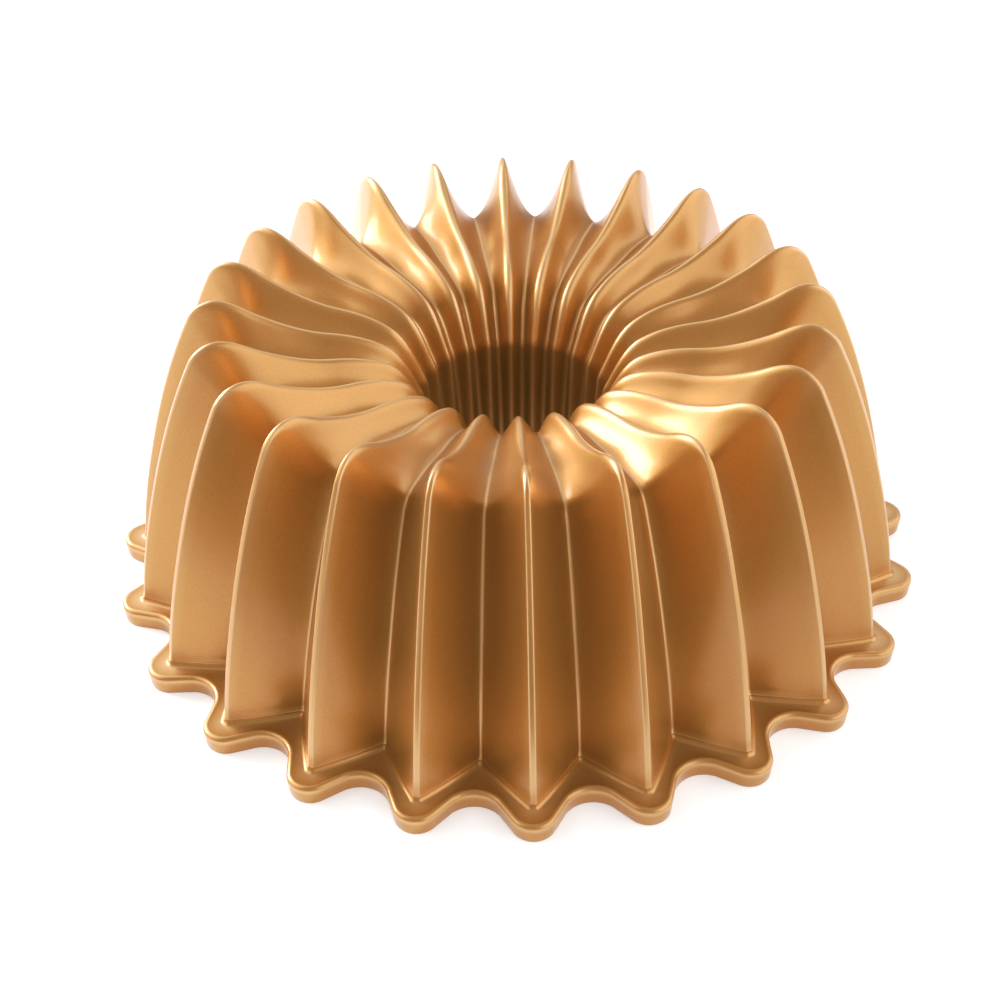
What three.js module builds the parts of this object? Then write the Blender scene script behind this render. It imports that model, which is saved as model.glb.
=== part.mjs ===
// Fluted ring-cake pan, lying open side down on its rim. Millimetres, +Z up.
// The rest plane is z = 0, the axis of the tube is the Z axis and one crest points to -Y.
import * as THREE from "three";

// Overall sizes
const OVERALL_DIAMETER = 265; // across the tips of the rim lobes
const OVERALL_HEIGHT = 96.8; // rest plane to the top of the crests
const FLUTE_COUNT = 24;

// Rim
const RIM_THICKNESS = 6.4;
const RIM_EDGE_RADIUS = 1.3; // rounding of the upper edge
const RIM_DRAFT = 0.3; // the side leans in by this much at the rest plane
const LOBE_RADIUS = 7; // each lobe is an arc about the foot of a crest
const LOBE_SWEEP = THREE.MathUtils.degToRad(60); // from the tip to the straight join to the bay
const BAY_DEPTH = 12.2; // lobe tip to the bottom of the bay between two lobes

// Wall
const WALL_THICKNESS = 2.8; // square to the metal, all over the flutes and the tube
const CREST_LAND = 1.8; // width of the flat strip along each crest
const FOOT_FILLET = 1.5; // where the wall meets the top of the rim

// Crest line, from the foot of the wall over the top and down the tube
const CREST_BULGE = 3.2; // the wall stands this far outside a straight line, a third of the way up
const SHOULDER_INSET = 34.6; // foot to the highest point, level
const SHOULDER_WIDTH = 8.4; // the shoulder's rounding: how far out it starts
const SHOULDER_FALL = 5.8; // and how far down
const SLOPE_DROP = 5.6; // drops are measured down from the top of the crests
const SADDLE_DROP = 12.6;
const BROW_DROP = 17.8;
const THROAT_DROP = 33;
const THROAT_RADIUS = 30.1;
const NECK_INSET = 1.8; // the bend into the tube: how far in from the throat it ends
const NECK_FALL = 5; // and how far down
const TUBE_END_RADIUS = 25.5;
const TUBE_END_HEIGHT = 3; // the tube stops short of the rest plane

// Flutes: how far each valley lies under the crests beside it
const STRAIGHT_SHARE = 0.25; // of each flank's fall: it keeps the bottom of the valley sharp
const FOOT_DEPTH = 16.8; // level, towards the axis
const VALLEY_BULGE = 2.4;
const SHOULDER_SETBACK = 9.8; // level, towards the axis
const VALLEY_WIDTH = 5; // the rounding at the top of the valley's wall
const VALLEY_FALL = 4.4;
const SHOULDER_DEPTH = 17.4; // these five are upright
const SLOPE_DEPTH = 11.8;
const SADDLE_DEPTH = 6.8;
const BROW_DEPTH = 5.2;
const THROAT_DEPTH = 3;
const THROAT_GROOVE = 3.2; // level, away from the axis
const TUBE_END_GROOVE = 1.6;

// Lining: the release coating inside the pan
const LINING_THICKNESS = 0.5;
const LINING_GAP = 0.4; // between the lining and the metal
const LINING_MARGIN = 1.2; // the lining stops this far inside the mouth and the tube's end

// Derived sizes
const FOOT_RADIUS = OVERALL_DIAMETER / 2 - LOBE_RADIUS;
const SHOULDER_RADIUS = FOOT_RADIUS - SHOULDER_INSET;
const PITCH = (2 * Math.PI) / FLUTE_COUNT;
const HALF_PITCH = PITCH / 2;
const FRONT = -Math.PI / 2;
const BULGE_SHARE = 0.355; // height of the bulge between the foot and the shoulder's rounding

// A knot of a profile line. Its heading is in degrees, from 0 straight up, through 90 towards
// the axis, to 180 straight down.
function knot(radius, height, heading) {
  return { radius, height, heading: THREE.MathUtils.degToRad(heading) };
}

// The knots of a profile line. Drops run from the slope over the saddle and brow to the throat,
// and places says where the first three lie between the shoulder and the throat.
function lineKnots({ foot, bulge, shoulder, top, width, fall, drops, places, throat, end, headings }) {
  const roundStart = { radius: shoulder + width, height: top - fall };
  const lerp = THREE.MathUtils.lerp;
  const points = [
    [foot, RIM_THICKNESS],
    [
      lerp(foot, roundStart.radius, BULGE_SHARE) + bulge,
      lerp(RIM_THICKNESS, roundStart.height, BULGE_SHARE),
    ],
    [roundStart.radius, roundStart.height],
    [shoulder, top],
    ...places.map((place, i) => [lerp(shoulder, throat, place), OVERALL_HEIGHT - drops[i]]),
    [throat, OVERALL_HEIGHT - drops[3]],
    [throat - NECK_INSET, OVERALL_HEIGHT - drops[3] - NECK_FALL],
    [end, TUBE_END_HEIGHT],
  ];
  return points.map(([radius, height], i) => knot(radius, height, headings[i]));
}

function crestKnots() {
  return lineKnots({
    foot: FOOT_RADIUS,
    bulge: CREST_BULGE,
    shoulder: SHOULDER_RADIUS,
    top: OVERALL_HEIGHT,
    width: SHOULDER_WIDTH,
    fall: SHOULDER_FALL,
    drops: [SLOPE_DROP, SADDLE_DROP, BROW_DROP, THROAT_DROP],
    places: [0.218, 0.551, 0.837],
    throat: THROAT_RADIUS,
    end: TUBE_END_RADIUS,
    headings: [7, 15, 28, 87, 117, 97, 121, 156, 176, 177],
  });
}

function valleyKnots() {
  return lineKnots({
    foot: FOOT_RADIUS - FOOT_DEPTH,
    bulge: VALLEY_BULGE,
    shoulder: SHOULDER_RADIUS - SHOULDER_SETBACK,
    top: OVERALL_HEIGHT - SHOULDER_DEPTH,
    width: VALLEY_WIDTH,
    fall: VALLEY_FALL,
    drops: [
      SLOPE_DROP + SLOPE_DEPTH,
      SADDLE_DROP + SADDLE_DEPTH,
      BROW_DROP + BROW_DEPTH,
      THROAT_DROP + THROAT_DEPTH,
    ],
    places: [0.22, 0.516, 0.818],
    throat: THROAT_RADIUS + THROAT_GROOVE,
    end: TUBE_END_RADIUS + TUBE_END_GROOVE,
    headings: [12.5, 15.5, 27, 84, 93, 95, 117, 153, 174, 177],
  });
}

// Steps into which each stretch between two knots is cut
const OUTSIDE_STEPS = [2, 2, 3, 3, 2, 2, 3, 1, 1];
const INSIDE_STEPS = [1, 2, 2, 2, 1, 2, 2, 1, 1];

// The cubic curve between two knots, with the headings of both.
function stretch(from, to) {
  const reach = Math.hypot(to.radius - from.radius, to.height - from.height) / 3;
  return new THREE.CubicBezierCurve(
    new THREE.Vector2(from.radius, from.height),
    new THREE.Vector2(
      from.radius - reach * Math.sin(from.heading),
      from.height + reach * Math.cos(from.heading),
    ),
    new THREE.Vector2(
      to.radius + reach * Math.sin(to.heading),
      to.height - reach * Math.cos(to.heading),
    ),
    new THREE.Vector2(to.radius, to.height),
  );
}

// Points along a profile line, each with the direction that points out of the metal.
function profile(knots, steps) {
  const points = [];
  steps.forEach((count, i) => {
    const curve = stretch(knots[i], knots[i + 1]);
    const last = i === steps.length - 1 ? count : count - 1;
    for (let step = 0; step <= last; step += 1) {
      const place = curve.getPoint(step / count);
      const along = curve.getTangent(step / count);
      points.push({ place, outward: new THREE.Vector2(along.y, -along.x) });
    }
  });
  return points;
}

// How hollow the sides of a flute are: 1 is flat. They are flattest at the foot and in the tube.
function hollowness(share) {
  const rise = THREE.MathUtils.smoothstep(share, 0, 0.4);
  const fade = THREE.MathUtils.smoothstep(share, 0.55, 0.85);
  return 1.1 + 1.3 * rise - 1.1 * fade;
}

// How far a flank has fallen from the crest, 0, to the valley, 1, at a place across it.
function fallAcross(flank, hollow) {
  const rest = 1 - flank;
  return 1 - (1 - STRAIGHT_SHARE) * rest ** hollow - STRAIGHT_SHARE * rest;
}

// Crest and valley points of the fluted skin, sunk into the metal by a depth measured square to
// the flute's sides. The deeper a flute is for its width, the more that is along its crest.
function stations(steps, depth) {
  const crests = profile(crestKnots(), steps);
  const valleys = profile(valleyKnots(), steps);
  return crests.map((crest, i) => {
    const valley = valleys[i];
    const width = crest.place.x * HALF_PITCH;
    const side = Math.hypot(width, crest.place.distanceTo(valley.place));
    const sink = (-depth * side) / width;
    return {
      crest: crest.place.clone().addScaledVector(crest.outward, sink),
      valley: valley.place.clone().addScaledVector(valley.outward, sink),
      hollow: hollowness(i / (crests.length - 1)),
    };
  });
}

function around(radius, angle, height) {
  return new THREE.Vector3(radius * Math.cos(angle), radius * Math.sin(angle), height);
}

// Columns across one flute: the side of the crest, and the place on the flank from the crest's
// flat strip, 0, to the valley, 1.
const OUTSIDE_COLUMNS = [
  { side: -1, flank: 0.64 },
  { side: -1, flank: 0.3 },
  { side: -1, flank: 0 },
  { side: 1, flank: 0 },
  { side: 1, flank: 0.3 },
  { side: 1, flank: 0.64 },
  { side: 1, flank: 1 },
];
const INSIDE_COLUMNS = [
  { side: -1, flank: 0.45 },
  { side: 1, flank: 0 },
  { side: 1, flank: 0.45 },
  { side: 1, flank: 1 },
];

// A ring of points round the axis. place(column) gives the radius, the height and the turn from
// the crest.
function ring(columns, place) {
  const points = [];
  for (let flute = 0; flute < FLUTE_COUNT; flute += 1) {
    for (const column of columns) {
      const { radius, height, turn } = place(column);
      points.push(around(radius, FRONT + flute * PITCH + turn, height));
    }
  }
  return points;
}

// One ring of the fluted skin, with a flat strip of the given width on its crests.
function flutedRing({ crest, valley, hollow }, columns, land) {
  const landTurn = land / 2 / crest.x;
  return ring(columns, ({ side, flank }) => {
    const fall = fallAcross(flank, hollow);
    return {
      radius: THREE.MathUtils.lerp(crest.x, valley.x, fall),
      height: THREE.MathUtils.lerp(crest.y, valley.y, fall),
      turn: side * THREE.MathUtils.lerp(landTurn, HALF_PITCH, flank),
    };
  });
}

// A fluted ring laid level at a height and grown outwards.
function levelRing(station, columns, land, height, growth) {
  return flutedRing(station, columns, land).map((point) => {
    const radius = Math.hypot(point.x, point.y) + growth;
    return around(radius, Math.atan2(point.y, point.x), height);
  });
}

// The rim's outline: an arc about each crest's foot and a straight join to the arc of the bay.
function rimOutline(inset, height) {
  const bayBottom = OVERALL_DIAMETER / 2 - BAY_DEPTH;
  const lean = Math.cos(LOBE_SWEEP - HALF_PITCH);
  const bayRadius =
    (bayBottom * lean - FOOT_RADIUS * Math.cos(LOBE_SWEEP) - LOBE_RADIUS) / (1 - lean);
  const bayCentre = around(bayBottom + bayRadius, HALF_PITCH, 0);
  const lobeCentre = around(FOOT_RADIUS, 0, 0);
  const lobeShare = 0.5; // columns up to here are on the lobe, and the rest in the bay
  const tipSweep = 0.18 * LOBE_SWEEP; // the tip's facet touches the arc at its middle
  return ring(OUTSIDE_COLUMNS, ({ side, flank }) => {
    const onLobe = flank <= lobeShare;
    const sweep = onLobe
      ? THREE.MathUtils.lerp(tipSweep, LOBE_SWEEP, flank / lobeShare)
      : Math.PI + THREE.MathUtils.lerp(LOBE_SWEEP, HALF_PITCH, (flank - lobeShare) / (1 - lobeShare));
    const lobeReach = (LOBE_RADIUS - inset) / (flank === 0 ? Math.cos(sweep) : 1);
    const point = onLobe
      ? around(lobeReach, sweep, 0).add(lobeCentre)
      : around(bayRadius + inset, sweep, 0).add(bayCentre);
    const turn = side * Math.atan2(point.y, point.x);
    return { radius: Math.hypot(point.x, point.y), height, turn };
  });
}

// The rings of the rim: up its leaning side and over its rounded upper edge.
function rimRings() {
  return [
    rimOutline(RIM_DRAFT, 0),
    rimOutline(0, RIM_THICKNESS - RIM_EDGE_RADIUS),
    rimOutline(RIM_EDGE_RADIUS, RIM_THICKNESS),
  ];
}

// The rings of the outside, from the top of the rim over the top to the end of the tube.
function outsideRings() {
  const [foot, ...rest] = stations(OUTSIDE_STEPS, 0);
  const rise = new THREE.Vector2(0, FOOT_FILLET);
  const lifted = {
    ...foot,
    crest: foot.crest.clone().add(rise),
    valley: foot.valley.clone().add(rise),
  };
  return [
    levelRing(foot, OUTSIDE_COLUMNS, CREST_LAND, RIM_THICKNESS, FOOT_FILLET),
    ...[lifted, ...rest].map((station) => flutedRing(station, OUTSIDE_COLUMNS, CREST_LAND)),
  ];
}

// Stations with the last one moved along the tube to a height.
function endedAt(list, height) {
  const [before, last] = list.slice(-2);
  const moved = (end, start) => end.clone().lerp(start, (height - end.y) / (start.y - end.y));
  const end = {
    ...last,
    crest: moved(last.crest, before.crest),
    valley: moved(last.valley, before.valley),
  };
  return [...list.slice(0, -1), end];
}

// The rings of a skin inside the pan, from the mouth over the top to the end of the tube.
function insideRings(depth, mouthHeight, tubeEndHeight) {
  const list = endedAt(stations(INSIDE_STEPS, depth), tubeEndHeight);
  return [
    levelRing(list[0], INSIDE_COLUMNS, 0, mouthHeight, 0),
    ...list.map((station) => flutedRing(station, INSIDE_COLUMNS, 0)),
  ];
}

// Angles of a ring's points, growing all the way round, with the first one again at the end.
function ringAngles(points) {
  const angles = [];
  points.forEach((point, i) => {
    let angle = Math.atan2(point.y, point.x);
    while (i > 0 && angle < angles[i - 1]) {
      angle += 2 * Math.PI;
    }
    angles.push(angle);
  });
  angles.push(angles[0] + 2 * Math.PI);
  return angles;
}

// Whether a ring lies nearer the mouth of the pan than another: further out, or else lower.
function nearerMouth(one, other) {
  const gap = Math.hypot(one[0].x, one[0].y) - Math.hypot(other[0].x, other[0].y);
  return Math.abs(gap) > 0.01 ? gap > 0 : one[0].z < other[0].z;
}

// Triangles between two rings, whatever their point counts. Where the next points of both are at
// one angle, the diagonal leans the same way on every skin and is mirrored across each crest.
function band(first, second) {
  const firstAngles = ringAngles(first);
  const secondAngles = ringAngles(second);
  const firstIsOuter = nearerMouth(first, second);
  const triangles = [];
  let i = 0;
  let j = 0;
  while (i < first.length || j < second.length) {
    const firstNext = i < first.length ? firstAngles[i + 1] : Infinity;
    const secondNext = j < second.length ? secondAngles[j + 1] : Infinity;
    const level = Math.abs(firstNext - secondNext) < 1e-6;
    const share = THREE.MathUtils.euclideanModulo((firstNext - FRONT) / PITCH - 1e-3, 1);
    const stepFirst = level ? firstIsOuter === share > 0.5 : firstNext < secondNext;
    const a = first[i % first.length];
    const b = second[j % second.length];
    if (stepFirst) {
      i += 1;
      triangles.push(a, first[i % first.length], b);
    } else {
      j += 1;
      triangles.push(a, second[j % second.length], b);
    }
  }
  return triangles;
}

// One closed body from rings that follow each other all the way round its section.
function bodyFromRings(rings) {
  const positions = [];
  rings.forEach((first, i) => {
    for (const point of band(first, rings[(i + 1) % rings.length])) {
      positions.push(point.x, point.y, point.z);
    }
  });
  const geometry = new THREE.BufferGeometry();
  geometry.setAttribute("position", new THREE.Float32BufferAttribute(positions, 3));
  geometry.computeVertexNormals();
  return geometry;
}

// Materials
function coatedAluminium() {
  return new THREE.MeshStandardMaterial({
    name: "coated_aluminium",
    color: 0xb9822f,
    metalness: 0.9,
    roughness: 0.38,
  });
}

function releaseCoating() {
  return new THREE.MeshStandardMaterial({
    name: "release_coating",
    color: 0x9a7138,
    metalness: 0.3,
    roughness: 0.45,
  });
}

// Sub-parts
function namedMesh(name, rings, material) {
  const mesh = new THREE.Mesh(bodyFromRings(rings), material);
  mesh.name = name;
  return mesh;
}

// The casting: rim, fluted wall, top and tube in one.
function panCasting() {
  const rings = [
    ...rimRings(),
    ...outsideRings(),
    ...insideRings(WALL_THICKNESS, 0, TUBE_END_HEIGHT).reverse(),
  ];
  return namedMesh("pan_casting", rings, coatedAluminium());
}

// The coating on the inside of the wall, the top and the tube.
function releaseLining() {
  const tubeEndHeight = TUBE_END_HEIGHT + LINING_MARGIN;
  const metalSide = WALL_THICKNESS + LINING_GAP;
  const cakeSide = metalSide + LINING_THICKNESS;
  const rings = [
    ...insideRings(metalSide, LINING_MARGIN, tubeEndHeight),
    ...insideRings(cakeSide, LINING_MARGIN, tubeEndHeight).reverse(),
  ];
  return namedMesh("release_lining", rings, releaseCoating());
}

const pan = new THREE.Group();
pan.name = "ring_cake_pan";
pan.add(panCasting(), releaseLining());

export default pan;
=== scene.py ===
"""Looks of a fluted ring-cake pan that lies open side down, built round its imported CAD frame.

The pan is cast metal under a satin gold coat, with a release lining inside. Metres, +Z up.
"""

import math

import bpy
import numpy as np
from mathutils import Matrix, Vector


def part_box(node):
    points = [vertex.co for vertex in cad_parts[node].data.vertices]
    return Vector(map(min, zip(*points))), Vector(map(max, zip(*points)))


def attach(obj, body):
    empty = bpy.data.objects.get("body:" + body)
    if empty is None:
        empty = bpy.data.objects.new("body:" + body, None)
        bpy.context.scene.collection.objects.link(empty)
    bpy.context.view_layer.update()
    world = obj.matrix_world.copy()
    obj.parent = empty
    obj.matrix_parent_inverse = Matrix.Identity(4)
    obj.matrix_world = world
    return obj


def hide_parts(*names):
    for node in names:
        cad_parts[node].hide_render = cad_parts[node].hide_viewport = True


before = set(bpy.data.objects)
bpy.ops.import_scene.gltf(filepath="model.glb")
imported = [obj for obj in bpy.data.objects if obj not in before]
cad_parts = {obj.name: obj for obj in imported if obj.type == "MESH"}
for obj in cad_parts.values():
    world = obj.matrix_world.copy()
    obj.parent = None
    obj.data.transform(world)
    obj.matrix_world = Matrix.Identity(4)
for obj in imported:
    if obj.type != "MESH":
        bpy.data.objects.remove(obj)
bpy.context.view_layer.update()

MM = 0.001
casting_low, casting_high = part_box("pan_casting")

# The pan's sizes in millimetres and its headings in degrees, as in its CAD source. Drops are
# measured from the highest point, the throat's last, and places are shares of the way from
# shoulder to throat.
OVERALL_DIAMETER = (casting_high.x - casting_low.x) / MM
OVERALL_HEIGHT = (casting_high.z - casting_low.z) / MM
FLUTE_COUNT = 24
RIM_THICKNESS = 6.4
RIM_EDGE_RADIUS = 1.3
RIM_BOTTOM_RADIUS = 0.4
RIM_DRAFT = 0.3
LOBE_RADIUS = 7.0
LOBE_SWEEP = math.radians(60)
BAY_DEPTH = 12.2
WALL_THICKNESS = 2.8
FOOT_FILLET = 1.5
CREST_BULGE = 3.2
SHOULDER_INSET = 34.6
SHOULDER_WIDTH = 8.4
SHOULDER_FALL = 5.8
CREST_DROPS = (5.6, 12.6, 17.8, 33.0)
CREST_PLACES = (0.218, 0.551, 0.837)
CREST_HEADINGS = (7, 15, 28, 87, 117, 97, 121, 156, 176, 177)
THROAT_RADIUS = 30.1
NECK_INSET = 1.8
NECK_FALL = 5.0
TUBE_END_RADIUS = 25.5
TUBE_END_HEIGHT = 3.0
FOOT_DEPTH = 16.8
VALLEY_BULGE = 2.4
SHOULDER_SETBACK = 9.8
VALLEY_WIDTH = 5.0
VALLEY_FALL = 4.4
SHOULDER_DEPTH = 17.4
VALLEY_DROPS = (17.4, 19.4, 23.0, 36.0)
VALLEY_PLACES = (0.22, 0.516, 0.818)
VALLEY_HEADINGS = (12.5, 15.5, 27, 84, 93, 95, 117, 153, 174, 177)
THROAT_GROOVE = 3.2
TUBE_END_GROOVE = 1.6
BULGE_SHARE = 0.355
STRAIGHT_SHARE = 0.25
LINING_THICKNESS = 0.5
LINING_GAP = 0.4
LINING_MARGIN = 1.2

FOOT_RADIUS = OVERALL_DIAMETER / 2 - LOBE_RADIUS
SHOULDER_RADIUS = FOOT_RADIUS - SHOULDER_INSET
PITCH = 2 * math.pi / FLUTE_COUNT
HALF_PITCH = PITCH / 2
FRONT = -math.pi / 2

# Half widths across a flute in millimetres, on the wall, on the top and down the tube: the strip
# on the crest up to the middle of its rounded edge, half that rounding, and half the valley's
WALL_CREST = 0.75
TOP_CREST = 1.0
WALL_CREST_EDGE = 0.3
TOP_CREST_EDGE = 0.95
WALL_VALLEY = 0.8
TOP_VALLEY = 0.65
TUBE_VALLEY_GAIN = 0.5

# Where the section changes along a profile line, in stretches from the foot
TOP_STARTS, TOP_REACHED = 2.4, 3.0
VALLEY_SHARPENS = (0.0, 4.0)
VALLEY_WIDENS = (5.5, 7.0)
HOLLOW_RISES = (0.0, 3.3)
HOLLOW_FADES = (4.7, 6.6)
# where the pale strip on the crests near the foot, partly wear and partly painted highlight, fades
# out
STRIP_WEAR_AND_HIGHLIGHT_FADES = (0.3, 1.7)

# How hollow the flanks are, as a power of the way from valley to crest: 1 is flat
FOOT_HOLLOW = 1.1
HOLLOW_GAIN = 1.3
HOLLOW_LOSS = 1.1

# Where the foot's fillet turns from square to the wall to level, in shares of a flute from its
# crest, and which percentile of the wall's slant sets how wide the level stretches are
LEVEL_STARTS, LEVEL_REACHED = 0.12, 0.3
LEVEL_PERCENTILE = 60

# How finely the skins are cut: steps for each stretch of a profile line, and columns in half a
# flute on the crest's edge, on the flank and in the valley
OUTSIDE_STEPS = (14, 20, 12, 12, 12, 10, 14, 8, 16)
INSIDE_STEPS = (6, 10, 6, 6, 6, 5, 7, 4, 8)
FINE_COLUMNS = (6, 7, 5)
COARSE_COLUMNS = (3, 4, 3)
SHARP_ANGLE = math.radians(50)

# Where rings lie on the rim and the foot's fillet, in shares of each rounding or side
BOTTOM_PLACES = (0.0, 0.5, 1.0)
SIDE_PLACES = (0.35, 0.7)
ROUNDING_PLACES = (0.0, 0.12, 0.24, 0.4, 0.6, 0.76, 0.88, 1.0)
FILLET_PLACES = (0.0, 0.12, 0.24, 0.4, 0.6, 0.8, 0.92)

# Pale lines, partly wear and partly painted highlight where edges catch light: their half widths on
# the crest and how far they reach past the fillet and past the rim's rounding, in millimetres, then
# their shares of a valley's and of an edge's rounding
WALL_LINE = 0.24
TOP_LINE = 0.55
FOOT_LINE = 0.35
EDGE_LINE = 0.3
VALLEY_LINE_SHARE = 0.6
WEAR_AND_HIGHLIGHT_FADE = 0.2

# How pale they are, partly from wear and partly as painted highlight: 0 is the plain coat and 1 is
# the palest
EDGE_WEAR_AND_HIGHLIGHT = 0.8
VALLEY_WEAR_AND_HIGHLIGHT = 0.8
STRIP_WEAR_AND_HIGHLIGHT = 0.75


# ---- the shape ----


def lerp(a, b, t):
    return a + (b - a) * t


def smoothstep(x, start, end):
    t = np.clip((x - start) / (end - start), 0, 1)
    return t * t * (3 - 2 * t)


def line_knots(foot, bulge, shoulder, top, width, fall, drops, places, throat, end):
    """Points (radius, height) of a profile line, from the foot of the wall to the tube's end."""
    start = (shoulder + width, top - fall)
    knots = [
        (foot, RIM_THICKNESS),
        (lerp(foot, start[0], BULGE_SHARE) + bulge, lerp(RIM_THICKNESS, start[1], BULGE_SHARE)),
        start,
        (shoulder, top),
    ]
    knots += [
        (lerp(shoulder, throat, place), OVERALL_HEIGHT - drop)
        for place, drop in zip(places, drops)
    ]
    throat_height = OVERALL_HEIGHT - drops[3]
    neck = (throat - NECK_INSET, throat_height - NECK_FALL)
    return knots + [(throat, throat_height), neck, (end, TUBE_END_HEIGHT)]


def crest_knots():
    return line_knots(
        FOOT_RADIUS, CREST_BULGE, SHOULDER_RADIUS, OVERALL_HEIGHT, SHOULDER_WIDTH,
        SHOULDER_FALL, CREST_DROPS, CREST_PLACES, THROAT_RADIUS, TUBE_END_RADIUS,
    )


def valley_knots():
    return line_knots(
        FOOT_RADIUS - FOOT_DEPTH, VALLEY_BULGE, SHOULDER_RADIUS - SHOULDER_SETBACK,
        OVERALL_HEIGHT - SHOULDER_DEPTH, VALLEY_WIDTH, VALLEY_FALL, VALLEY_DROPS,
        VALLEY_PLACES, THROAT_RADIUS + THROAT_GROOVE, TUBE_END_RADIUS + TUBE_END_GROOVE,
    )


def profile(knots, headings, steps):
    """Points along a profile line, and at each one the direction that points out of the metal.

    A heading is 0 straight up, 90 towards the axis and 180 straight down.
    """
    places, outward = [], []
    for i, count in enumerate(steps):
        a, d = np.array(knots[i]), np.array(knots[i + 1])
        reach = np.linalg.norm(d - a) / 3
        ways = [
            np.array((-math.sin(math.radians(h)), math.cos(math.radians(h))))
            for h in headings[i : i + 2]
        ]
        b, c = a + reach * ways[0], d - reach * ways[1]
        t = np.linspace(0, 1, count + 1)[:, None]
        if i < len(steps) - 1:
            t = t[:-1]
        places.append(
            (1 - t) ** 3 * a + 3 * (1 - t) ** 2 * t * b + 3 * (1 - t) * t**2 * c + t**3 * d
        )
        along = 3 * (1 - t) ** 2 * (b - a) + 6 * (1 - t) * t * (c - b) + 3 * t**2 * (d - c)
        along /= np.linalg.norm(along, axis=1)[:, None]
        outward.append(np.column_stack((along[:, 1], -along[:, 0])))
    return np.concatenate(places), np.concatenate(outward)


def stations(steps, depth):
    """The crest and valley lines of a skin that lies depth under the outside, square to the
    flanks, and where each point is: 0 at the foot, 9 at the tube's end, one for each stretch."""
    crest, crest_out = profile(crest_knots(), CREST_HEADINGS, steps)
    valley, valley_out = profile(valley_knots(), VALLEY_HEADINGS, steps)
    width = crest[:, 0] * HALF_PITCH
    side = np.hypot(width, np.linalg.norm(crest - valley, axis=1))
    sink = (-depth * side / width)[:, None]
    where = np.concatenate(
        [i + np.arange(count) / count for i, count in enumerate(steps)] + [[len(steps)]]
    )
    return crest + crest_out * sink, valley + valley_out * sink, where


def on_top(where):
    """How far a station belongs to the top and tube: 0 on the wall, 1 past the shoulder."""
    return smoothstep(where, TOP_STARTS, TOP_REACHED)


def hollowness(where):
    rise = smoothstep(where, *HOLLOW_RISES)
    fade = smoothstep(where, *HOLLOW_FADES)
    return FOOT_HOLLOW + HOLLOW_GAIN * rise - HOLLOW_LOSS * fade


def crest_land(where):
    """Half the width of the strip on the crest, which is flat on the wall and round on the top."""
    return lerp(WALL_CREST, TOP_CREST, on_top(where))


def crest_edge(where):
    """Half the width of the rounding on each edge of that strip."""
    return lerp(WALL_CREST_EDGE, TOP_CREST_EDGE, on_top(where))


def valley_round(where):
    """Half the width of the rounding in the valley."""
    sharp = lerp(WALL_VALLEY, TOP_VALLEY, smoothstep(where, *VALLEY_SHARPENS))
    return sharp + TUBE_VALLEY_GAIN * smoothstep(where, *VALLEY_WIDENS)


def half_section(radius, where, columns):
    """Turns from the crest, and falls and the pale mark from crest to valley, across half a flute,
    one
    row for each station: a flat strip, its rounded edge, the hollow flank, the rounded valley. The
    pale mark is partly wear and partly painted highlight."""
    edge_count, flank_count, valley_count = columns
    land = (crest_land(where) / radius)[:, None]
    edge = (crest_edge(where) / radius)[:, None]
    round_off = (valley_round(where) / radius)[:, None]
    hollow = hollowness(where)[:, None]
    flank_start = land + edge
    valley_start = HALF_PITCH - round_off
    turn = np.hstack(
        [
            np.zeros_like(land),
            land + edge * np.linspace(-1, 1, edge_count)[None, :],
            lerp(flank_start, valley_start, np.linspace(0, 1, flank_count + 2)[None, 1:]),
            valley_start + round_off * np.linspace(0, 1, valley_count + 1)[None, 1:],
        ]
    )

    def flank_fall(angle):
        up = 1 - np.clip((angle - land) / (HALF_PITCH - land), 0, 1)
        return 1 - (1 - STRAIGHT_SHARE) * up**hollow - STRAIGHT_SHARE * up

    nudge = 1e-4 * HALF_PITCH
    start_fall = flank_fall(flank_start)
    start_slope = (flank_fall(flank_start + nudge) - flank_fall(flank_start - nudge)) / (2 * nudge)
    slope_rise = 2 * edge * start_slope
    t = np.clip((turn - land + edge) / (2 * edge), 0, 1)
    edge_fall = (3 * start_fall - slope_rise) * t**2 + (slope_rise - 2 * start_fall) * t**3

    last_fall = flank_fall(valley_start)
    last_slope = (last_fall - flank_fall(valley_start - nudge)) / nudge
    past = np.clip(turn - valley_start, 0, None)
    valley_fall = last_fall + last_slope * past - last_slope * past**2 / (2 * round_off)

    fall = np.where(turn < flank_start, edge_fall, flank_fall(turn))
    fall = np.where(turn > valley_start, valley_fall, fall)
    return turn, fall, section_wear_and_highlight(turn, radius, land, round_off, where)


def section_wear_and_highlight(turn, radius, land, round_off, where):
    """Pale marks across half a flute, partly wear and partly painted highlight where these
    roundings
    catch light: a line on each edge of the wall's strip that becomes one line on the top's crest, a
    line in the valley, and the strip itself near the foot."""
    top = on_top(where)[:, None]
    line_width = lerp(WALL_LINE, TOP_LINE, top) / radius[:, None]
    crest_line = np.exp(-(((turn - land * (1 - top)) / line_width) ** 2))
    valley_width = VALLEY_LINE_SHARE * round_off
    valley_line = VALLEY_WEAR_AND_HIGHLIGHT * np.exp(-(((HALF_PITCH - turn) / valley_width) ** 2))
    strip = STRIP_WEAR_AND_HIGHLIGHT * (1 - smoothstep(where, *STRIP_WEAR_AND_HIGHLIGHT_FADES))[:, None]
    return np.maximum(np.maximum(crest_line, valley_line), np.where(turn < land, strip, 0))


def whole_turn(turn, *values):
    """Angles and values of half a flute, mirrored about its crest and repeated all the way
    round."""
    mirrored = np.hstack([-turn[:, :0:-1], turn])[:, 1:]
    angles = np.hstack([FRONT + k * PITCH + mirrored for k in range(FLUTE_COUNT)])
    out = [angles]
    for value in values:
        both = np.hstack([value[:, :0:-1], value])[:, 1:]
        out.append(np.hstack([both] * FLUTE_COUNT))
    return out


def placed(radius, angle, height):
    return np.stack([radius * np.cos(angle), radius * np.sin(angle), height], axis=-1)


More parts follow.
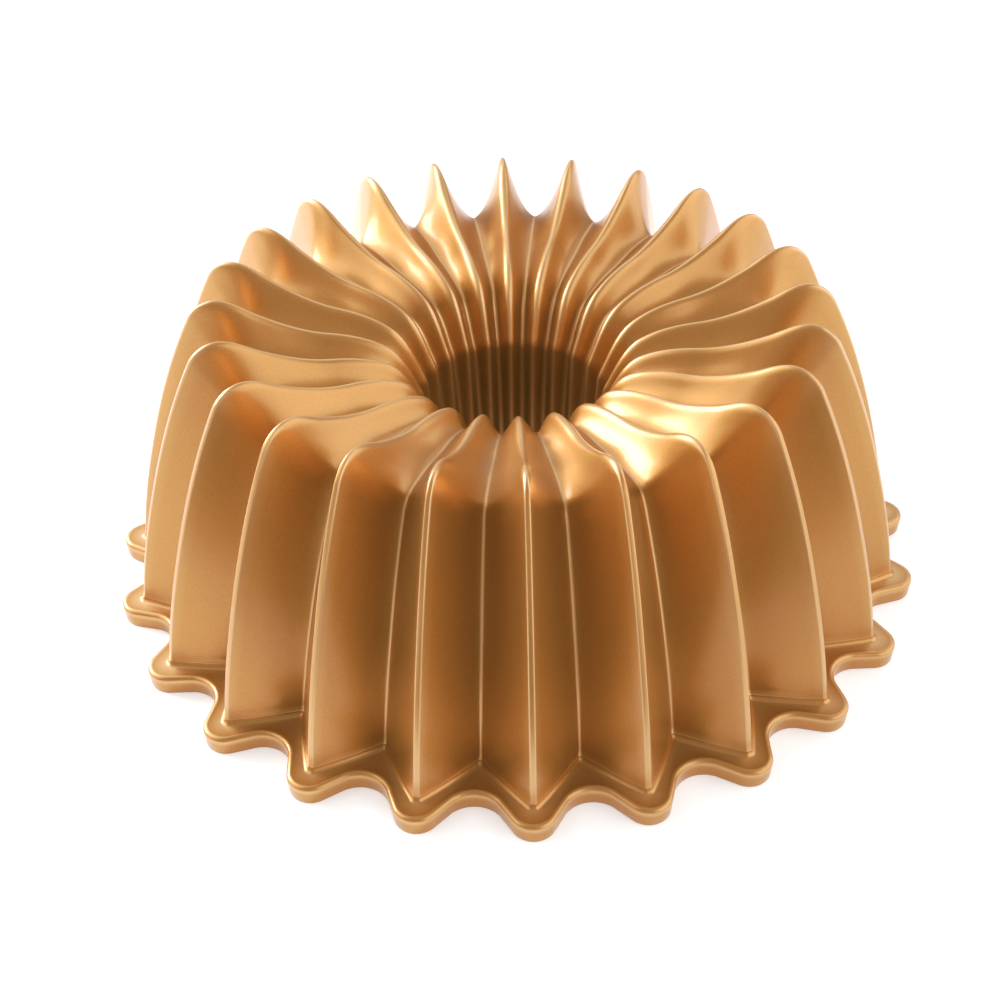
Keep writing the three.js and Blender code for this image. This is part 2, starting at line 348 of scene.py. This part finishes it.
def skin(steps, depth, columns, end_height=None):
    """A fluted skin as rings of points, with the pale mark of each point, partly wear and partly
    painted highlight. end_height moves the last ring along the tube."""
    crest, valley, where = stations(steps, depth)
    if end_height is not None:
        for line in (crest, valley):
            share = (end_height - line[-1, 1]) / (line[-2, 1] - line[-1, 1])
            line[-1] = lerp(line[-1], line[-2], share)
    turn, fall, wear_and_highlight = half_section(crest[:, 0], where, columns)
    angles, falls, wears_and_highlights = whole_turn(turn, fall, wear_and_highlight)
    radius = lerp(crest[:, 0, None], valley[:, 0, None], falls)
    height = lerp(crest[:, 1, None], valley[:, 1, None], falls)
    return placed(radius, angles, np.minimum(height, OVERALL_HEIGHT)), wears_and_highlights


def rim_ring(inset, height, columns):
    """One ring of the rim's outline: an arc about each crest's foot, and a straight join to the
    arc of the bay between two lobes."""
    bay_bottom = OVERALL_DIAMETER / 2 - BAY_DEPTH
    lean = math.cos(LOBE_SWEEP - HALF_PITCH)
    bay_radius = bay_bottom * lean - FOOT_RADIUS * math.cos(LOBE_SWEEP) - LOBE_RADIUS
    bay_radius /= 1 - lean
    bay = np.array((math.cos(HALF_PITCH), math.sin(HALF_PITCH))) * (bay_bottom + bay_radius)
    count = sum(columns) + 2
    lobe_count = count // 2
    lobe = np.linspace(0, LOBE_SWEEP, lobe_count + 1)
    bay_turns = np.linspace(math.pi + LOBE_SWEEP, math.pi + HALF_PITCH, count - lobe_count)[1:]
    lobe_reach = LOBE_RADIUS - inset
    bay_reach = bay_radius + inset
    x = np.hstack([FOOT_RADIUS + lobe_reach * np.cos(lobe), bay[0] + bay_reach * np.cos(bay_turns)])
    y = np.hstack([lobe_reach * np.sin(lobe), bay[1] + bay_reach * np.sin(bay_turns)])
    angles, radius = whole_turn(np.arctan2(y, x)[None, :], np.hypot(x, y)[None, :])
    return placed(radius[0], angles[0], np.full_like(radius[0], height))


def rim_rings(columns):
    """Up the leaning side of the rim and over its rounded upper edge, with the pale mark of each
    ring:
    both borders of the rounding are painted paler, partly wear and partly painted highlight."""
    rings = []
    for t in BOTTOM_PLACES:
        a = math.pi / 2 * t
        inset = RIM_DRAFT + RIM_BOTTOM_RADIUS * (1 - math.sin(a))
        rings.append(rim_ring(inset, RIM_BOTTOM_RADIUS * (1 - math.cos(a)), columns))
    side_top = RIM_THICKNESS - RIM_EDGE_RADIUS
    for t in SIDE_PLACES:
        height = lerp(RIM_BOTTOM_RADIUS, side_top, t)
        rings.append(rim_ring(RIM_DRAFT * (1 - t), height, columns))
    wears_and_highlights = [0.0] * len(rings)
    for t in ROUNDING_PLACES:
        a = math.pi / 2 * t
        inset = RIM_EDGE_RADIUS * (1 - math.cos(a))
        rings.append(rim_ring(inset, side_top + RIM_EDGE_RADIUS * math.sin(a), columns))
        # both borders of the rounding are painted paler: partly wear, partly painted highlight
        border = min(t, 1 - t)
        wears_and_highlights.append(EDGE_WEAR_AND_HIGHLIGHT * math.exp(-((border / WEAR_AND_HIGHLIGHT_FADE) ** 2)))
    rings.append(rim_ring(RIM_EDGE_RADIUS + EDGE_LINE, RIM_THICKNESS, columns))
    wears_and_highlights.append(0.0)
    return rings, wears_and_highlights


def foot_rings(wall):
    """The fillet between the top of the rim and the foot of the wall, with the pale mark of its
    points, partly wear and partly painted highlight, strongest at its lower border. It goes square
    to the wall round the toe of each crest, and level towards the valleys, where it is as wide,
    measured square to the flanks."""
    radius = np.hypot(wall[:, 0], wall[:, 1])
    angle = np.unwrap(np.arctan2(wall[:, 1], wall[:, 0]))
    along = np.roll(wall[:, :2], -1, axis=0) - np.roll(wall[:, :2], 1, axis=0)
    square = np.column_stack((along[:, 1], -along[:, 0]))
    square /= np.linalg.norm(square, axis=1)[:, None]
    outward = wall[:, :2] / radius[:, None]
    stretch = 1 / np.sum(square * outward, axis=1)
    level_out = outward * np.percentile(stretch, LEVEL_PERCENTILE)
    from_crest = np.abs(((angle - FRONT) / PITCH + 0.5) % 1 - 0.5)
    way = lerp(square, level_out, smoothstep(from_crest, LEVEL_STARTS, LEVEL_REACHED)[:, None])
    rings, wears_and_highlights = [], []
    for t in FILLET_PLACES:
        a = math.pi / 2 * t
        grown = wall[:, :2] + FOOT_FILLET * (1 - math.sin(a)) * way
        height = np.full_like(radius, RIM_THICKNESS + FOOT_FILLET * (1 - math.cos(a)))
        rings.append(np.column_stack((grown, height)))
        # the fillet's lower border is painted pale: partly wear, partly painted highlight
        wears_and_highlights.append(np.full_like(radius, EDGE_WEAR_AND_HIGHLIGHT * math.exp(-((t / WEAR_AND_HIGHLIGHT_FADE) ** 2))))
    return rings, wears_and_highlights


def level(ring, height):
    flat = ring.copy()
    flat[:, 2] = height
    return flat


def closed_mesh(name, rings, wears_and_highlights=()):
    """One closed body from rings that follow each other all the way round its section. Points keep
    their pale mark, partly wear and partly painted highlight, where it is given, as an attribute."""
    points = np.concatenate(rings) * MM
    count, columns = len(rings), len(rings[0])
    index = np.arange(count * columns).reshape(count, columns)
    following = np.roll(index, -1, axis=0)
    quads = np.stack(
        [index, np.roll(index, -1, axis=1), np.roll(following, -1, axis=1), following], axis=-1
    ).reshape(-1, 4)
    mesh = bpy.data.meshes.new(name)
    mesh.vertices.add(len(points))
    mesh.vertices.foreach_set("co", points.astype(np.float32).ravel())
    mesh.loops.add(quads.size)
    mesh.loops.foreach_set("vertex_index", quads.astype(np.int32).ravel())
    mesh.polygons.add(len(quads))
    mesh.polygons.foreach_set("loop_start", np.arange(0, quads.size, 4, dtype=np.int32))
    mesh.update(calc_edges=True)
    mesh.validate()
    if wears_and_highlights:
        attribute = mesh.attributes.new("wear_and_highlight", "FLOAT", "POINT")
        attribute.data.foreach_set("value", np.concatenate(wears_and_highlights).astype(np.float32))
    mesh.polygons.foreach_set("use_smooth", np.ones(len(mesh.polygons), bool))
    mesh.set_sharp_from_angle(angle=SHARP_ANGLE)
    piece = bpy.data.objects.new(name, mesh)
    bpy.context.scene.collection.objects.link(piece)
    return piece


def pan_casting():
    """Rings up the rim's side, over the foot's fillet and the fluted wall to the end of the tube,
    then back along the inside to the underside of the rim."""
    wall, wall_wear_and_highlight = skin(OUTSIDE_STEPS, 0, FINE_COLUMNS)
    wall[0, :, 2] += FOOT_FILLET
    inner, _ = skin(INSIDE_STEPS, WALL_THICKNESS, FINE_COLUMNS, TUBE_END_HEIGHT)
    rim, rim_wear_and_highlight = rim_rings(FINE_COLUMNS)
    foot, foot_wear_and_highlight = foot_rings(wall[0])
    above = lerp(wall[0], wall[1], FOOT_LINE / np.linalg.norm(wall[1] - wall[0], axis=1)[:, None])
    rings = rim + foot + [wall[0], above, *wall[1:]] + list(inner[::-1]) + [level(inner[0], 0)]
    plain = np.zeros(wall.shape[1])
    # the ring at the wall's foot is painted as pale as the edges: partly wear, partly painted
    # highlight
    worn_and_highlit = np.full_like(plain, EDGE_WEAR_AND_HIGHLIGHT)
    wears_and_highlights = [np.full_like(plain, wear_and_highlight) for wear_and_highlight in rim_wear_and_highlight]
    wears_and_highlights += foot_wear_and_highlight + [worn_and_highlit, *wall_wear_and_highlight]
    wears_and_highlights += [plain] * (len(inner) + 1)
    return closed_mesh("fluted_casting", rings, wears_and_highlights)


def release_lining():
    """A thin closed skin inside the metal that ends short of the mouth and of the tube's end."""
    tube_end = TUBE_END_HEIGHT + LINING_MARGIN
    metal_side = WALL_THICKNESS + LINING_GAP
    near, _ = skin(INSIDE_STEPS, metal_side, COARSE_COLUMNS, tube_end)
    far, _ = skin(INSIDE_STEPS, metal_side + LINING_THICKNESS, COARSE_COLUMNS, tube_end)
    rings = [level(near[0], LINING_MARGIN), *near, *far[::-1], level(far[0], LINING_MARGIN)]
    return closed_mesh("lining_skin", rings)


# ---- materials ----

# Colours are linear. Shades are stops over a noise that runs from 0 to 1.
GOLD_SHADES = (
    (0.3, (0.41, 0.187, 0.052)),
    (0.5, (0.43, 0.198, 0.057)),
    (0.72, (0.455, 0.213, 0.064)),
)
# A paler gold for creases and edges: partly wear, partly painted highlight
WORN_AND_HIGHLIT_GOLD = (0.60, 0.35, 0.17)
LINING_SHADES = ((0.3, (0.38, 0.165, 0.075)), (0.7, (0.47, 0.215, 0.10)))
FLOOR_GREY = (0.9, 0.9, 0.9)
CLOTH_GREY = (0.1, 0.095, 0.085)
WHITE = (1, 1, 1)
NOISE_LOW, NOISE_HIGH = 0.3, 0.7


def node(tree, kind, **inputs):
    """A node with its inputs set or, where a socket is given, linked to it."""
    made = tree.nodes.new(kind)
    for name, value in inputs.items():
        socket = made.inputs[name.replace("_", " ")]
        if isinstance(value, bpy.types.NodeSocket):
            tree.links.new(value, socket)
        else:
            socket.default_value = value
    return made


def new_material(name):
    material = bpy.data.materials.new(name)
    material.use_nodes = True
    tree = material.node_tree
    tree.nodes.clear()
    shader = tree.nodes.new("ShaderNodeBsdfPrincipled")
    output = tree.nodes.new("ShaderNodeOutputMaterial")
    tree.links.new(shader.outputs["BSDF"], output.inputs["Surface"])
    return material, tree, shader


def noise(tree, scale, detail):
    """Noise in the piece's own space, with scale in cells to the metre."""
    place = tree.nodes.new("ShaderNodeTexCoord").outputs["Object"]
    made = node(tree, "ShaderNodeTexNoise", Vector=place, Scale=scale, Detail=detail)
    return made.outputs["Fac"]


def ramp(tree, factor, stops):
    made = tree.nodes.new("ShaderNodeValToRGB")
    tree.links.new(factor, made.inputs["Fac"])
    elements = made.color_ramp.elements
    while len(elements) < len(stops):
        elements.new(0.5)
    for element, (position, colour) in zip(elements, stops):
        element.position = position
        element.color = (*colour, 1)
    return made.outputs["Color"]


def roughen(tree, shader, factor, low, high):
    """Roughness that goes from low to high with a noise."""
    rough = node(
        tree, "ShaderNodeMapRange", Value=factor, From_Min=NOISE_LOW, From_Max=NOISE_HIGH,
        To_Min=low, To_Max=high,
    )
    tree.links.new(rough.outputs["Result"], shader.inputs["Roughness"])


def bump(tree, shader, height, strength, distance):
    made = node(tree, "ShaderNodeBump", Height=height, Strength=strength, Distance=distance)
    tree.links.new(made.outputs["Normal"], shader.inputs["Normal"])


def satin_gold():
    """A bronze-gold coat with fine metal flake, paler along creases and edges, partly from wear and
    partly as painted highlight.
    """
    material, tree, shader = new_material("satin_gold_coat")
    flake = noise(tree, scale=1800.0, detail=3.0)
    cloud = noise(tree, scale=22.0, detail=2.0)
    # the pale mark mixes in the paler gold: partly wear, partly painted highlight
    wear_and_highlight = tree.nodes.new("ShaderNodeAttribute")
    wear_and_highlight.attribute_name = "wear_and_highlight"
    worn_and_highlit = tree.nodes.new("ShaderNodeMix")
    worn_and_highlit.data_type = "RGBA"
    tree.links.new(wear_and_highlight.outputs["Fac"], worn_and_highlit.inputs["Factor"])
    tree.links.new(ramp(tree, flake, GOLD_SHADES), worn_and_highlit.inputs["A"])
    worn_and_highlit.inputs["B"].default_value = (*WORN_AND_HIGHLIT_GOLD, 1)
    tree.links.new(worn_and_highlit.outputs["Result"], shader.inputs["Base Color"])
    roughen(tree, shader, cloud, low=0.36, high=0.41)
    bump(tree, shader, flake, strength=0.08, distance=0.00006)
    shader.inputs["Metallic"].default_value = 0.75
    shader.inputs["Coat Weight"].default_value = 0.5
    shader.inputs["Coat Roughness"].default_value = 0.19
    return material


def release_coating():
    """The lining's coat: duller and a little redder than the outside."""
    material, tree, shader = new_material("release_coat")
    grain = noise(tree, scale=900.0, detail=3.0)
    tree.links.new(ramp(tree, grain, LINING_SHADES), shader.inputs["Base Color"])
    roughen(tree, shader, grain, low=0.42, high=0.52)
    bump(tree, shader, grain, strength=0.2, distance=0.0001)
    shader.inputs["Metallic"].default_value = 0.5
    return material


# ---- stage, light and camera ----

# Metres, degrees and radiance
FLOOR_HALF = 30.0
FLOOR_GLOW = 0.27
CLOTH_CORNERS = ((-0.15, -0.9), (0.15, -0.19))
CLOTH_HEIGHT = 0.001
WORLD_STRENGTH = 0.54
LAMP_TARGET = Vector((0, 0, 0.05))

# Azimuth, elevation, distance, width, height and radiance of each soft box
SOFT_BOXES = {
    "left_box": (-118, 22, 1.0, 0.55, 0.5, 12.0),
    "left_panel": (-100, 36, 1.4, 1.8, 1.4, 1.5),
    "right_panel": (76, 26, 1.2, 2.2, 1.2, 1.7),
    "back_panel": (180, 45, 1.4, 1.6, 1.0, 0.7),
}

# The film's answer to light: deep shades sink, middle tones lift and highlights ease off to white
FILM_WHITE = 0.95
FILM_CURVE = (
    (0.05, 0.040), (0.09, 0.085), (0.15, 0.158), (0.2, 0.22), (0.315, 0.38), (0.48, 0.56),
    (0.7, 0.77), (0.83, 0.90),
)
# Green and blue rise a little in deep shades, so that dark bronze stays brown
GREEN_LIFT = ((0.02, 0.034), (0.05, 0.064), (0.12, 0.130), (0.25, 0.25))
BLUE_LIFT = ((0.005, 0.008), (0.02, 0.022), (0.06, 0.062), (0.15, 0.15))

CAMERA_DISTANCE = 0.5165
CAMERA_AZIMUTH = -1.84
CAMERA_ELEVATION = 39.19
CAMERA_ROLL = math.radians(-0.70)
CAMERA_LENS = 54.45
CAMERA_SENSOR = 36
CAMERA_SHIFT = (-0.0155, 0.0228)
CAMERA_CLIP = (0.01, 100)


def card(name, low, high, height, material):
    """A level rectangle of the stage between two corners."""
    mesh = bpy.data.meshes.new(name)
    corners = [(low[0], low[1]), (high[0], low[1]), (high[0], high[1]), (low[0], high[1])]
    mesh.from_pydata([(x, y, height) for x, y in corners], [], [(0, 1, 2, 3)])
    mesh.materials.append(material)
    plane = bpy.data.objects.new(name, mesh)
    bpy.context.scene.collection.objects.link(plane)
    return plane


def floor():
    """A pale floor with a faint glow of its own."""
    material, _, shader = new_material("pale_floor")
    shader.inputs["Base Color"].default_value = (*FLOOR_GREY, 1)
    shader.inputs["Roughness"].default_value = 0.9
    shader.inputs["Specular IOR Level"].default_value = 0.1
    shader.inputs["Emission Color"].default_value = (*WHITE, 1)
    shader.inputs["Emission Strength"].default_value = FLOOR_GLOW
    card("floor", (-FLOOR_HALF, -FLOOR_HALF), (FLOOR_HALF, FLOOR_HALF), 0, material)


def front_flag():
    """A dark cloth on the floor before the camera's view, which keeps the front walls deep. Only
    reflections see it."""
    material, _, shader = new_material("dark_cloth")
    shader.inputs["Base Color"].default_value = (*CLOTH_GREY, 1)
    shader.inputs["Roughness"].default_value = 0.9
    cloth = card("front_flag", *CLOTH_CORNERS, CLOTH_HEIGHT, material)
    cloth.visible_camera = False
    cloth.visible_diffuse = False
    cloth.visible_shadow = False


def direction(azimuth, elevation):
    """The way from the pan to something at an azimuth, 0 towards -Y and 90 towards +X, and an
    elevation, both in degrees."""
    a, e = math.radians(azimuth), math.radians(elevation)
    return Vector((math.sin(a) * math.cos(e), -math.cos(a) * math.cos(e), math.sin(e)))


def soft_box(name, azimuth, elevation, distance, width, height, radiance):
    """A rectangular soft box that faces the pan."""
    data = bpy.data.lights.new(name, "AREA")
    data.shape = "RECTANGLE"
    data.size = width
    data.size_y = height
    data.energy = radiance * math.pi * width * height
    lamp = bpy.data.objects.new(name, data)
    way = direction(azimuth, elevation)
    lamp.location = LAMP_TARGET + way * distance
    lamp.rotation_euler = (-way).to_track_quat("-Z", "Y").to_euler()
    lamp.visible_camera = False
    bpy.context.scene.collection.objects.link(lamp)


def lights():
    world = bpy.data.worlds.new("studio")
    bpy.context.scene.world = world
    world.use_nodes = True
    background = world.node_tree.nodes["Background"]
    background.inputs["Color"].default_value = (*WHITE, 1)
    background.inputs["Strength"].default_value = WORLD_STRENGTH
    for name, setting in SOFT_BOXES.items():
        soft_box(name, *setting)


def film():
    """The view's tone curves: one for all channels together, one for green and one for blue."""
    view = bpy.context.scene.view_settings
    view.view_transform = "Standard"
    view.look = "None"
    view.use_curve_mapping = True
    tone = view.curve_mapping
    tone.white_level = (FILM_WHITE,) * 3
    _, green, blue, together = tone.curves
    for x, y in FILM_CURVE:
        together.points.new(x / FILM_WHITE, y)
    for curve, lift in ((green, GREEN_LIFT), (blue, BLUE_LIFT)):
        for x, y in lift:
            curve.points.new(x, y)
    tone.update()


def camera():
    """The camera stands almost in front of a crest and looks at the middle of the rim."""
    data = bpy.data.cameras.new("camera")
    data.lens = CAMERA_LENS
    data.sensor_width = CAMERA_SENSOR
    data.shift_x, data.shift_y = CAMERA_SHIFT
    data.clip_start, data.clip_end = CAMERA_CLIP
    data.dof.use_dof = False
    made = bpy.data.objects.new("camera", data)
    back = direction(CAMERA_AZIMUTH, CAMERA_ELEVATION)
    target = Vector((0, 0, RIM_THICKNESS * MM))
    turn = (-back).to_track_quat("-Z", "Y").to_matrix().to_4x4()
    roll = Matrix.Rotation(CAMERA_ROLL, 4, "Z")
    made.matrix_world = Matrix.Translation(target + back * CAMERA_DISTANCE) @ turn @ roll
    bpy.context.scene.collection.objects.link(made)
    bpy.context.scene.camera = made


# ---- the scene ----

camera()
lights()
film()
floor()
front_flag()

casting = pan_casting()
casting.data.materials.append(satin_gold())
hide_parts("pan_casting")
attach(casting, "root")

lining = release_lining()
lining.data.materials.append(release_coating())
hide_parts("release_lining")
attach(lining, "root")
